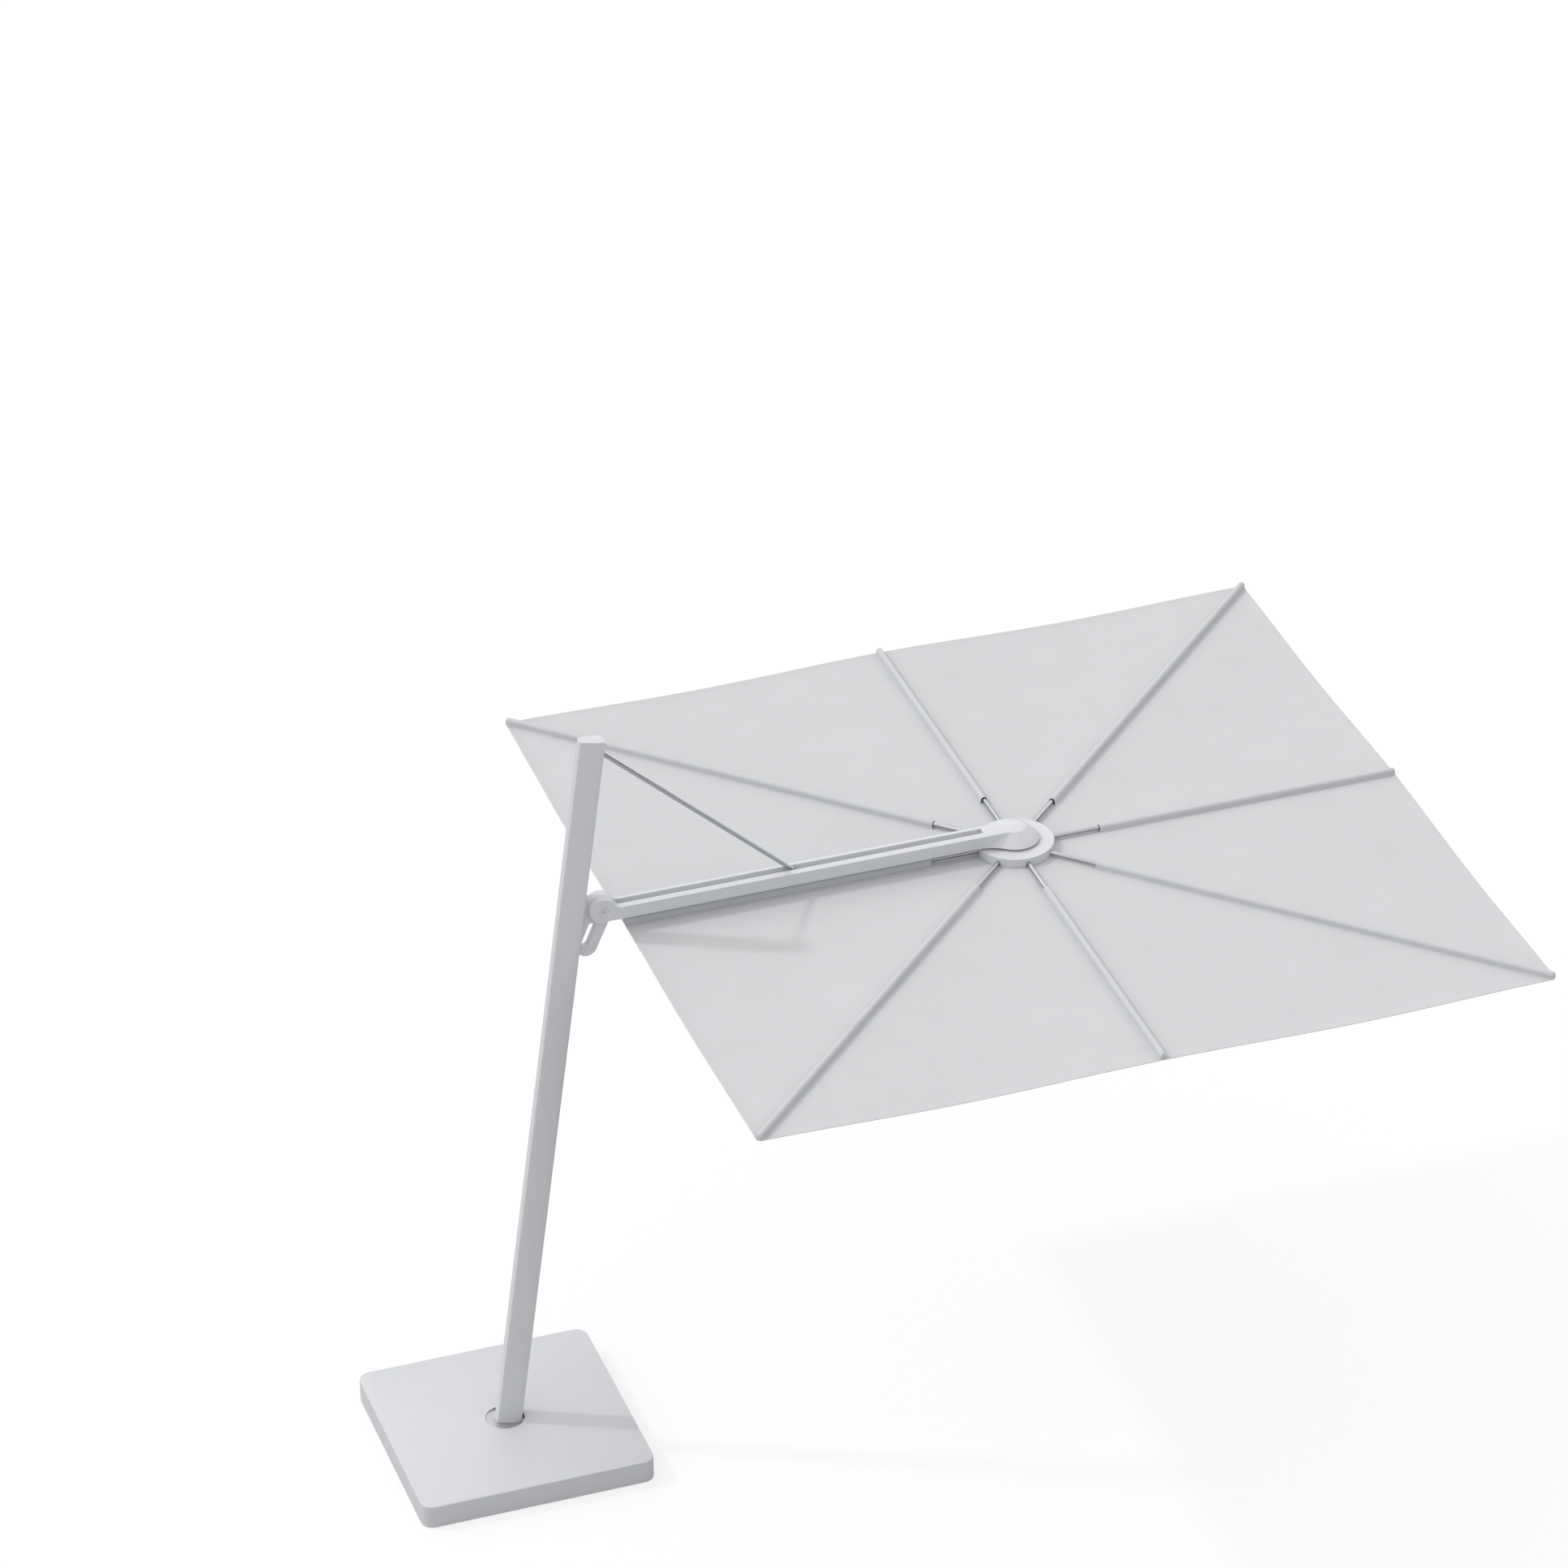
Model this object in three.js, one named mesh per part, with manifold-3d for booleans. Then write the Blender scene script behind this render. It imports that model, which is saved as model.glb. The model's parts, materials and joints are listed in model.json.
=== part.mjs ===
// Cantilever parasol: a square weighted base, a leaning mast with a track in its face, a carriage
// that slides in the track, a grooved arm with a strut, and a flat square canopy on eight ribs.
// Millimetres, +Z up, +X from the mast towards the canopy, origin under the middle of the base.
import * as THREE from 'three';
import { mergeVertices } from 'three/addons/utils/BufferGeometryUtils.js';
import Module from 'manifold-3d';

const wasm = await Module();
wasm.setup();

// ---------- driving dimensions ----------
const GAP = 0.3;
const BASE = { side: 900, top: 95, bottom: 3, corner: 46, wall: 2.5, edge: 2 };
const WELL = { radius: 76, ring: 73.6, cup: 73.2, depth: 10.5 };
const BALLAST = { side: 870, bottom: 14, thickness: 22, foot: 30, footPitch: 380 };
const DISC = { radius: 72.4, thickness: 4, screws: 58, head: 5.6, hole: 6 };
const MAST = { lean: 0.14347, offset: 10, length: 2908, rear: 21, front: 29.5, half: 47, bulge: 3.5 };
const TRACK = { slot: 10, lip: 4, room: 20, back: 10, web: 4, wall: 4 };
const PIVOT = { x: 439, z: 2258, fromMast: 113.7, alongMast: 2214 };
const BRACKET = { half: 15.5, boss: 55, neck: 9 };
const LOOP = { radius: 14.5, outer: 40, top: [-28.5, -72], bottom: [-47, -143], heel: [-38, -155] };
const ARM = { half: 38, inner: 16, bottom: -43.5, edge: 5, crown: 9.5, length: 1593, floor: -17, wall: 3 };
const KNUCKLE = { clearance: 58, end: 90, axle: 8 };
const CHEEK = { outer: 48, outerFillet: 30, inner: 55, innerFillet: 20 };
const CAP = { radius: 19, thickness: 2.8, seat: 3.2, socket: 4 };
const TEAR = { lower: 91.3, upper: 48, crown: 26, fillet: 150, groove: 127, neck: 70 };
const STRUT = { radius: 8, eye: 10, half: 8, pin: 5, low: [734.3, 0], top: [13, 652.5] };
const HUB = { radius: 145.5, top: 21.5, bottom: -12.5, drop: 74, post: 40 };
const SLOT = { half: 10, top: 9.5, mouth: 110, mouthHalf: 8.6 };
const RIB = { count: 8, radius: 8, bore: 6.4, barrel: 9, pivot: 60, side: 1500, middle: 1507, reach: 18 };
const CLOTH = { top: -13.5, thickness: 1.5, start: 150, sleeve: 330, strip: 14.5, crease: 5 };
const SLEEVE = { outer: 12.5, inner: 9, foot: 12 };
const ROUND = 24;

const paint = () => new THREE.MeshStandardMaterial({ color: 0xd8dade, roughness: 0.45, metalness: 0.1 });
const steel = () => new THREE.MeshStandardMaterial({ color: 0xa9abae, roughness: 0.35, metalness: 0.9 });
const bright = () => new THREE.MeshStandardMaterial({ color: 0xc0c3c6, roughness: 0.15, metalness: 1 });
const cloth = () => new THREE.MeshStandardMaterial({ color: 0xd4d5d7, roughness: 0.95, metalness: 0 });
const rubber = () => new THREE.MeshStandardMaterial({ color: 0x2b2b2c, roughness: 0.9, metalness: 0 });
const nylon = () => new THREE.MeshStandardMaterial({ color: 0x3a3c3e, roughness: 0.6, metalness: 0 });

const parasol = new THREE.Group();
const mast = new THREE.Group();
const arm = new THREE.Group();
const canopy = new THREE.Group();

mast.position.set(0, 0, BASE.top - WELL.depth);
mast.rotation.y = MAST.lean;
arm.position.set(PIVOT.x, 0, PIVOT.z);
canopy.position.set(ARM.length, 0, -HUB.drop);
parasol.add(mast, arm);
arm.add(canopy);

// ---------- solids ----------
function solid(geometry) {
  const bare = geometry.index ? geometry.clone() : geometry;
  bare.deleteAttribute('normal');
  bare.deleteAttribute('uv');
  const merged = mergeVertices(bare, 1e-3);
  return new wasm.Manifold(new wasm.Mesh({
    numProp: 3,
    vertProperties: new Float32Array(merged.attributes.position.array),
    triVerts: new Uint32Array(merged.index.array),
  }));
}

function geometryOf(manifold) {
  const mesh = manifold.getMesh();
  const geometry = new THREE.BufferGeometry();
  geometry.setAttribute('position', new THREE.BufferAttribute(mesh.vertProperties, 3));
  geometry.setIndex(new THREE.BufferAttribute(mesh.triVerts, 1));
  return geometry;
}

function joined(...geometries) {
  return geometries.map(solid).reduce((whole, piece) => whole.add(piece));
}

function cut(body, ...geometries) {
  return geometries.reduce((rest, geometry) => rest.subtract(solid(geometry)), body);
}

function addNode(group, name, shape, material) {
  const geometry = shape.isBufferGeometry ? shape : geometryOf(shape);
  geometry.computeVertexNormals();
  const mesh = new THREE.Mesh(geometry, material);
  mesh.name = name;
  group.add(mesh);
  return mesh;
}

function box(x0, x1, y0, y1, z0, z1) {
  const geometry = new THREE.BoxGeometry(x1 - x0, y1 - y0, z1 - z0);
  return geometry.translate((x0 + x1) / 2, (y0 + y1) / 2, (z0 + z1) / 2);
}

function upright(radius, z0, z1, segments = ROUND) {
  const geometry = new THREE.CylinderGeometry(radius, radius, z1 - z0, segments);
  return geometry.rotateX(Math.PI / 2).translate(0, 0, (z0 + z1) / 2);
}

// A round bar along Y, centred on (x, z).
function crossBar(x, z, y0, y1, radius, segments = ROUND) {
  const geometry = new THREE.CylinderGeometry(radius, radius, y1 - y0, segments);
  return geometry.translate(x, (y0 + y1) / 2, z);
}

// A shape drawn in x and z, as thick as two halves, centred on y = 0.
function sidePlate(shape, half, curveSegments = 12) {
  const settings = { depth: 2 * half, bevelEnabled: false, curveSegments };
  return new THREE.ExtrudeGeometry(shape, settings).rotateX(Math.PI / 2).translate(0, half, 0);
}

// A closed solid through outlines that have the same number of points, lowest first.
function loft(levels) {
  const count = levels[0].outline.length;
  const positions = levels.flatMap(({ z, outline }) => outline.flatMap((p) => [p.x, p.y, z]));
  const faces = [];
  const last = (levels.length - 1) * count;
  for (const [a, b, c] of THREE.ShapeUtils.triangulateShape(levels[0].outline, [])) {
    faces.push(a, c, b);
  }
  for (const [a, b, c] of THREE.ShapeUtils.triangulateShape(levels.at(-1).outline, [])) {
    faces.push(last + a, last + b, last + c);
  }
  for (let level = 0; level < levels.length - 1; level += 1) {
    for (let i = 0; i < count; i += 1) {
      const a = level * count + i;
      const b = level * count + ((i + 1) % count);
      faces.push(a, b, b + count, a, b + count, a + count);
    }
  }
  const geometry = new THREE.BufferGeometry();
  geometry.setAttribute('position', new THREE.Float32BufferAttribute(positions, 3));
  geometry.setIndex(faces);
  return geometry;
}

function arc(x, y, radius, from, to, steps) {
  return Array.from({ length: steps + 1 }, (_, i) => {
    const angle = from + ((to - from) * i) / steps;
    return new THREE.Vector2(x + radius * Math.cos(angle), y + radius * Math.sin(angle));
  });
}

function roundedSquare(side, radius, steps = 5) {
  const middle = side / 2 - radius;
  const corners = [[1, 1], [-1, 1], [-1, -1], [1, -1]];
  return corners.flatMap(([sx, sy], i) => {
    const from = (i * Math.PI) / 2;
    return arc(sx * middle, sy * middle, radius, from, from + Math.PI / 2, steps);
  });
}

// ---------- base ----------
function baseCover() {
  const inset = (step) => roundedSquare(BASE.side - 2 * step, BASE.corner - step);
  const outside = loft([
    { z: BASE.bottom, outline: inset(0) },
    { z: BASE.top - BASE.edge, outline: inset(0) },
    { z: BASE.top - BASE.edge * 0.3, outline: inset(BASE.edge * 0.3) },
    { z: BASE.top, outline: inset(BASE.edge) },
  ]);
  const inside = loft([
    { z: 0, outline: inset(BASE.wall) },
    { z: BASE.top - BASE.wall, outline: inset(BASE.wall) },
  ]);
  return cut(solid(outside), inside, upright(WELL.radius, 0, BASE.top + 1, 40));
}

function ballastPlate() {
  const top = BALLAST.bottom + BALLAST.thickness;
  const outline = roundedSquare(BALLAST.side, BASE.corner, 3);
  const plate = loft([{ z: BALLAST.bottom, outline }, { z: top, outline }]);
  return cut(solid(plate), upright(104, 0, top + 1));
}

// The housing stands on the ground through the ballast plate, carries the middle of the cover
// and holds the swivel.
function bearingHousing() {
  const top = BASE.top - BASE.wall - GAP;
  const bore = WELL.radius + 0.5;
  const profile = [
    [0, 0], [60, 0], [60, 10], [100, 10], [100, 84], [120, 84], [120, top],
    [bore, top], [bore, 22], [20.5, 22], [20.5, 5], [0, 5],
  ];
  const points = profile.map(([r, z]) => new THREE.Vector2(r, z));
  return new THREE.LatheGeometry(points, 32).rotateX(Math.PI / 2);
}

function trimRing() {
  const ring = upright(WELL.radius - GAP, 84, BASE.top + 0.4, 40);
  return cut(solid(ring), upright(WELL.ring, 80, BASE.top + 1, 40));
}

function addBase() {
  addNode(parasol, 'base_cover', baseCover(), paint());
  addNode(parasol, 'ballast_plate', ballastPlate(), steel());
  addNode(parasol, 'bearing_housing', bearingHousing(), steel());
  addNode(parasol, 'trim_ring', trimRing(), bright());
  const corners = [[1, 1], [-1, 1], [-1, -1], [1, -1]];
  corners.forEach(([sx, sy], i) => {
    const foot = upright(BALLAST.foot, 0, BALLAST.bottom - GAP, 16);
    foot.translate(sx * BALLAST.footPitch, sy * BALLAST.footPitch, 0);
    addNode(parasol, `base_foot_${i + 1}`, foot, rubber());
  });
}

// ---------- swivel ----------
// The cup turns about a vertical axis, but its floor is square to the leaning mast.
function swivelCup() {
  const floor = DISC.thickness + GAP;
  const above = box(-200, 200, -200, 200, -floor, 200);
  above.rotateY(MAST.lean).translate(0, 0, mast.position.z);
  const body = joined(upright(WELL.cup, 26, 120, 40), upright(20, 6, 40));
  return cut(body, above);
}

function screwSpots() {
  return [0, 1, 2, 3].map((i) => {
    const angle = (i * Math.PI) / 2;
    return [DISC.screws * Math.cos(angle), DISC.screws * Math.sin(angle)];
  });
}

function turntableDisc() {
  const holes = screwSpots().map(([x, y]) => (
    upright(DISC.hole, -DISC.thickness - 1, 1, 16).translate(x, y, 0)
  ));
  return cut(solid(upright(DISC.radius, -DISC.thickness, 0, 40)), ...holes);
}

function discScrew(x, y) {
  const head = upright(DISC.head, -DISC.thickness, -0.4, 16);
  const socket = upright(2.4, -2.4, 1, 6);
  return geometryOf(cut(solid(head), socket)).translate(x, y, 0);
}

function addSwivel() {
  addNode(parasol, 'swivel_cup', swivelCup(), steel());
  addNode(mast, 'turntable_disc', turntableDisc(), steel());
  screwSpots().forEach(([x, y], i) => {
    addNode(mast, `disc_screw_${i + 1}`, discScrew(x, y), bright());
  });
}

// ---------- mast ----------
// The section tapers to the rear, with slightly bulging sides and rounded corners.
function mastOutline(inset = 0) {
  const corner = 6 - inset / 2;
  const rear = MAST.rear - inset;
  const front = MAST.front - inset;
  const half = MAST.half - inset;
  const side = (sign) => {
    const bulge = (rear + front) / 2 + MAST.bulge;
    const curve = new THREE.QuadraticBezierCurve(
      new THREE.Vector2(-half + corner, sign * rear),
      new THREE.Vector2(0, sign * (bulge + MAST.bulge / 2)),
      new THREE.Vector2(half - corner, sign * front),
    );
    return curve.getPoints(6);
  };
  const quarter = Math.PI / 2;
  const cornerArc = (x, y, from) => arc(x, y, corner, from, from + quarter, 3).slice(1, -1);
  return [
    ...side(-1),
    ...cornerArc(half - corner, -front + corner, -quarter),
    new THREE.Vector2(half, -front + corner),
    new THREE.Vector2(half, front - corner),
    ...cornerArc(half - corner, front - corner, 0),
    ...side(1).reverse(),
    ...cornerArc(-half + corner, rear - corner, quarter),
    new THREE.Vector2(-half, rear - corner),
    new THREE.Vector2(-half, -rear + corner),
    ...cornerArc(-half + corner, -rear + corner, 2 * quarter),
  ];
}

function mastTube() {
  const z1 = MAST.length;
  const tube = loft([{ z: GAP, outline: mastOutline() }, { z: z1, outline: mastOutline() }]);
  const lip = MAST.half - TRACK.lip;
  const slot = box(lip - 1, MAST.half + 5, -TRACK.slot, TRACK.slot, -5, z1 + 5);
  const room = box(TRACK.back, lip, -TRACK.room, TRACK.room, -5, z1 + 5);
  const front = TRACK.back - TRACK.web;
  const rear = -MAST.half + TRACK.wall;
  const chamber = loft([-5, z1 + 5].map((z) => ({
    z,
    outline: [[rear, -16], [front, -20], [front, 20], [rear, 16]].map(([x, y]) => new THREE.Vector2(x, y)),
  })));
  return geometryOf(cut(solid(tube), slot, room, chamber)).translate(MAST.offset, 0, 0);
}

// The cap is notched over the slot, where the strut passes.
function mastTopCap() {
  const z0 = MAST.length + GAP;
  const cap = loft([
    { z: z0, outline: mastOutline() },
    { z: z0 + 2.5, outline: mastOutline() },
    { z: z0 + 3.7, outline: mastOutline(1.4) },
  ]);
  const notch = box(37, MAST.half + 5, -STRUT.half - 1, STRUT.half + 1, z0 - 5, z0 + 10);
  return geometryOf(cut(solid(cap), notch)).translate(MAST.offset, 0, 0);
}

function addMast() {
  addNode(mast, 'mast_tube', mastTube(), paint());
  addNode(mast, 'mast_top_cap', mastTopCap(), paint());
}

// ---------- carriage ----------
// x runs out from the pivot and y up along the mast.
function bracketShape() {
  const face = MAST.half + 1 - PIVOT.fromMast;
  const shape = new THREE.Shape();
  const shoulder = Math.atan2(54, -10);
  const hip = Math.atan2(-41, 37);
  const [heelX, heelY] = LOOP.heel;
  shape.moveTo(face, 38);
  shape.lineTo(BRACKET.boss * Math.cos(shoulder), BRACKET.boss * Math.sin(shoulder));
  shape.absarc(0, 0, BRACKET.boss, shoulder, hip, true);
  shape.lineTo(heelX + LOOP.outer, heelY - 4);
  shape.absarc(heelX, heelY, LOOP.outer, -0.1, Math.atan2(-29, face - heelX), true);
  shape.closePath();
  const [topX, topY] = LOOP.top;
  const [bottomX, bottomY] = LOOP.bottom;
  const across = Math.atan2(topX - bottomX, bottomY - topY);
  const hole = new THREE.Path();
  hole.absarc(topX, topY, LOOP.radius, across - Math.PI, across, false);
  hole.absarc(bottomX, bottomY, LOOP.radius, across, across + Math.PI, false);
  hole.closePath();
  shape.holes.push(hole);
  return shape;
}

function carriageBracket() {
  const plate = sidePlate(bracketShape(), BRACKET.half);
  const tongueBack = MAST.half - TRACK.lip - PIVOT.fromMast - 0.7;
  const tongueFront = MAST.half + 2.5 - PIVOT.fromMast;
  const tongue = box(tongueBack, tongueFront, -BRACKET.neck, BRACKET.neck, -182, 36);
  const bore = crossBar(0, 0, -60, 60, KNUCKLE.axle + 0.4);
  const bracket = geometryOf(cut(joined(plate, tongue), bore));
  return bracket.translate(MAST.offset + PIVOT.fromMast, 0, PIVOT.alongMast);
}

function sliderShoe() {
  const front = MAST.half - TRACK.lip - 1.2;
  const shoe = box(TRACK.back + 1, front, -TRACK.room + 1, TRACK.room - 1, -190, 45);
  return shoe.translate(MAST.offset, 0, PIVOT.alongMast);
}

function addCarriage() {
  addNode(mast, 'carriage_bracket', carriageBracket(), paint());
  addNode(mast, 'slider_shoe', sliderShoe(), nylon());
}

// ---------- arm ----------
// Plan of the arm with its round end: straight sides that sweep out to a circle round the hub.
function armPlan(half, radius, fillet, start) {
  const centreY = half + fillet;
  const reach = radius + fillet;
  const back = Math.sqrt(reach * reach - centreY * centreY);
  const bend = Math.atan2(centreY, -back);
  const sweep = Math.PI / 2 - Math.atan2(back, centreY);
  const cx = ARM.length;
  const quarter = Math.PI / 2;
  const near = arc(cx - back, -centreY, fillet, quarter, sweep, 6);
  const end = arc(cx, 0, radius, -bend, bend, 22);
  const far = arc(cx - back, centreY, fillet, -sweep, -quarter, 6);
  return [
    new THREE.Vector2(start, -half),
    ...near,
    ...end.slice(1, -1),
    ...far,
    new THREE.Vector2(start, half),
  ];
}

// Side view of a cheek: a disc that runs into the arm's top through a fillet.
function cheekOutline(radius, fillet, top) {
  const lift = top + fillet;
  const reach = radius + fillet;
  const run = Math.sqrt(reach * reach - lift * lift);
  const rise = Math.atan2(lift, run);
  const low = Math.asin(ARM.bottom / radius);
  return [
    new THREE.Vector2(radius * Math.cos(low), ARM.bottom),
    new THREE.Vector2(KNUCKLE.end, ARM.bottom),
    new THREE.Vector2(KNUCKLE.end, top),
    ...arc(run, lift, fillet, -Math.PI / 2, rise - Math.PI, 6),
    ...arc(0, 0, radius, rise, 2 * Math.PI + low, 30).slice(1, -1),
  ];
}

// The cheeks widen from their outer faces to the fork between them.
function knuckle() {
  const outer = cheekOutline(CHEEK.outer, CHEEK.outerFillet, ARM.edge);
  const inner = cheekOutline(CHEEK.inner, CHEEK.innerFillet, ARM.crown - 0.05);
  return loft([
    { z: -ARM.half, outline: outer },
    { z: -ARM.inner, outline: inner },
    { z: ARM.inner, outline: inner },
    { z: ARM.half, outline: outer },
  ]).rotateX(Math.PI / 2);
}

// The room inside the extruded arm: beside and under the groove, open into the fork.
function armChambers() {
  const start = KNUCKLE.clearance + 6;
  const end = ARM.length - TEAR.groove - 8;
  const side = ARM.half - ARM.wall;
  const groove = ARM.inner + ARM.wall;
  const bottom = ARM.bottom + ARM.wall;
  const underGroove = ARM.floor - ARM.wall;
  return [
    box(start, end, -side, side, bottom, underGroove),
    box(start, end, -side, -groove, bottom - 0.1, ARM.edge - ARM.wall),
    box(start, end, groove, side, bottom - 0.1, ARM.edge - ARM.wall),
    box(40, start + 1, -ARM.inner + 2, ARM.inner - 2, bottom + 1, underGroove - 1),
  ];
}

function armBeam() {
  const start = 45;
  const beam = loft([
    { z: ARM.bottom, outline: armPlan(ARM.half, TEAR.lower, TEAR.fillet, start) },
    { z: ARM.edge, outline: armPlan(ARM.half, TEAR.upper, TEAR.fillet, start) },
    { z: ARM.crown, outline: armPlan(ARM.inner, TEAR.crown, TEAR.fillet, start) },
  ]);
  const neckTop = ARM.bottom + 3;
  const neckBottom = HUB.top - HUB.drop + GAP;
  const neck = upright(TEAR.neck, neckBottom, neckTop, 32).translate(ARM.length, 0, 0);
  const body = joined(beam, knuckle(), neck);
  const fork = crossBar(0, 0, -ARM.inner, ARM.inner, KNUCKLE.clearance, 32);
  const mouth = box(-90, 20, -ARM.inner, ARM.inner, -90, 90);
  const grooveEnd = ARM.length - TEAR.groove;
  const groove = box(0, grooveEnd, -ARM.inner, ARM.inner, ARM.floor, 60);
  const bore = crossBar(0, 0, -60, 60, KNUCKLE.axle + 0.3);
  const seats = [-1, 1].map((side) => (
    crossBar(0, 0, side * ARM.half - CAP.seat, side * ARM.half + CAP.seat, CAP.radius + 0.4)
  ));
  return cut(body, fork, mouth, groove, bore, ...seats, ...armChambers());
}

function knuckleCap(side) {
  const half = CAP.thickness / 2;
  const face = side * ARM.half;
  const middle = face - side * half;
  const cap = crossBar(0, 0, middle - half, middle + half, CAP.radius);
  const socket = crossBar(0, 0, face - half, face + half, CAP.socket, 6);
  return cut(solid(cap), socket);
}

function addArm() {
  addNode(arm, 'arm_beam', armBeam(), paint());
  const axleHalf = ARM.half - 3.5;
  addNode(arm, 'knuckle_axle', crossBar(0, 0, -axleHalf, axleHalf, KNUCKLE.axle), steel());
  addNode(arm, 'knuckle_cap_front', knuckleCap(-1), paint());
  addNode(arm, 'knuckle_cap_rear', knuckleCap(1), paint());
  const [pinX, pinZ] = STRUT.low;
  const pinHalf = ARM.inner - GAP;
  addNode(arm, 'strut_pin_lower', crossBar(pinX, pinZ, -pinHalf, pinHalf, STRUT.pin, 12), steel());
}

// ---------- strut ----------
function strutRod() {
  const [lowX, lowZ] = STRUT.low;
  const [topX, topZ] = STRUT.top;
  const length = Math.hypot(lowX - topX, topZ - lowZ);
  const tilt = Math.atan2(topX - lowX, topZ - lowZ);
  const rod = upright(STRUT.radius, 4, length - 4, 16);
  const eyes = [0, length].map((z) => crossBar(0, z, -STRUT.half, STRUT.half, STRUT.eye));
  const holes = [0, length].map((z) => crossBar(0, z, -30, 30, STRUT.pin + 0.4, 12));
  const body = geometryOf(cut(joined(rod, ...eyes), ...holes));
  return body.rotateY(tilt).translate(lowX, 0, lowZ);
}

function addStrut() {
  const pinHalf = TRACK.slot - GAP;
  addNode(arm, 'strut_rod', strutRod(), bright());
  addNode(arm, 'strut_pin_upper', crossBar(...STRUT.top, -pinHalf, pinHalf, STRUT.pin, 12), steel());
}

// ---------- hub ----------
function ribAngle(index) {
  return (index * 2 * Math.PI) / RIB.count;
}

// A slot is open below, wide where the rib turns and close round the rib at the rim.
function ribSlot() {
  const low = HUB.bottom - 5;
  const end = HUB.radius + 10;
  const room = box(HUB.post, SLOT.mouth, -SLOT.half, SLOT.half, low, SLOT.top);
  const mouth = box(SLOT.mouth - 1, end, -SLOT.mouthHalf, SLOT.mouthHalf, low, 0);
  const crown = upright(SLOT.mouthHalf, SLOT.mouth - 1, end, 16).rotateY(Math.PI / 2);
  return geometryOf(joined(room, mouth, crown));
}

function hubDisc() {
  const level = (z, radius) => ({ z, outline: arc(0, 0, radius, 0, 2 * Math.PI * (47 / 48), 47) });
  const disc = loft([
    level(HUB.bottom, HUB.radius),
    level(HUB.top - 1.2, HUB.radius),
    level(HUB.top, HUB.radius - 1.2),
  ]);
  const slots = Array.from({ length: RIB.count }, (_, i) => ribSlot().rotateZ(ribAngle(i)));
  return cut(solid(disc), ...slots);
}

function addHub() {
  const patchTop = HUB.bottom - GAP;
  const patchBottom = patchTop - CLOTH.thickness;
  addNode(canopy, 'hub_disc', hubDisc(), paint());
  addNode(canopy, 'canopy_centre_patch', upright(36, patchBottom, patchTop), cloth());
  const plate = [[0, -GAP], [34, -GAP], [34, -3], [28, -6], [0, -6]];
  const profile = plate.map(([r, z]) => new THREE.Vector2(r, z + patchBottom)).reverse();
  const clamp = new THREE.LatheGeometry(profile, ROUND).rotateX(Math.PI / 2);
  addNode(canopy, 'clamp_plate', clamp, paint());
}

// ---------- canopy ----------
// Ribs with even numbers from zero end in the middle of a side, the others in a corner.
function ribTip(index) {
  return index % 2 === 0 ? RIB.middle : RIB.side * Math.SQRT2;
}

function ribTube(index) {
  const tube = upright(RIB.radius, RIB.pivot, ribTip(index) - RIB.reach, 12).rotateY(Math.PI / 2);
  const barrel = crossBar(RIB.pivot, 0, -RIB.barrel, RIB.barrel, RIB.radius, 16);
  const bore = upright(RIB.bore, RIB.pivot + 20, ribTip(index), 12).rotateY(Math.PI / 2);
  return geometryOf(cut(joined(tube, barrel), bore)).rotateZ(ribAngle(index));
}

// The sleeve is an arch of cloth over the rib, on a strip of cloth that runs under it.
function canopySleeve(index) {
  const end = ribTip(index);
  const bottom = CLOTH.top - CLOTH.thickness;
  const shape = new THREE.Shape();
  shape.moveTo(-SLEEVE.foot, CLOTH.top - 1);
  shape.lineTo(SLEEVE.foot, CLOTH.top - 1);
  shape.absarc(0, 0, SLEEVE.outer, 0, Math.PI, false);
  shape.closePath();
  const settings = { depth: end - CLOTH.sleeve, bevelEnabled: false, curveSegments: 6 };
  const arch = new THREE.ExtrudeGeometry(shape, settings);
  arch.rotateX(Math.PI / 2).rotateZ(Math.PI / 2).translate(CLOTH.sleeve, 0, 0);
  const strip = box(CLOTH.start, end, -CLOTH.strip + 0.5, CLOTH.strip - 0.5, bottom, CLOTH.top);
  const room = upright(SLEEVE.inner, 0, end - RIB.reach + 3, 12).rotateY(Math.PI / 2);
  return geometryOf(cut(joined(arch, strip), room)).rotateZ(ribAngle(index));
}

// The cloth from a rib's strip to the crease halfway to the next rib, out to the straight hem.
// Its rib lies along +X, and the next rib's tip is as far along this rib as it is aside from it.
function panelOutline(index) {
  const tip = ribTip(index);
  const next = ribTip(index + 1) * Math.SQRT1_2;
  const hemAt = (aside) => tip + ((next - tip) * aside) / next;
  const crease = Math.PI / RIB.count;
  const slope = Math.tan(crease);
  const clear = CLOTH.crease / Math.cos(crease);
  const onCrease = (x) => new THREE.Vector2(x, x * slope - clear);
  const inner = CLOTH.start / Math.cos(crease / 2);
  return [
    new THREE.Vector2(inner, CLOTH.strip),
    new THREE.Vector2(hemAt(CLOTH.strip), CLOTH.strip),
    onCrease(tip / (1 + (tip / next - 1) * slope)),
    onCrease(inner * Math.cos(crease)),
  ];
}

function canopyPanel(index, side) {
  const points = panelOutline(index);
  const outline = side > 0 ? points : points.map((p) => new THREE.Vector2(p.x, -p.y)).reverse();
  const levels = [CLOTH.top - CLOTH.thickness, CLOTH.top].map((z) => ({ z, outline }));
  return loft(levels).rotateZ(ribAngle(index));
}

function addCanopy() {
  for (let i = 0; i < RIB.count; i += 1) {
    addNode(canopy, `rib_${i + 1}`, ribTube(i), bright());
    addNode(canopy, `canopy_sleeve_${i + 1}`, canopySleeve(i), cloth());
    addNode(canopy, `canopy_panel_${i + 1}a`, canopyPanel(i, -1), cloth());
    addNode(canopy, `canopy_panel_${i + 1}b`, canopyPanel(i, 1), cloth());
  }
}

addBase();
addSwivel();
addMast();
addCarriage();
addArm();
addStrut();
addHub();
addCanopy();

export default parasol;
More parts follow.
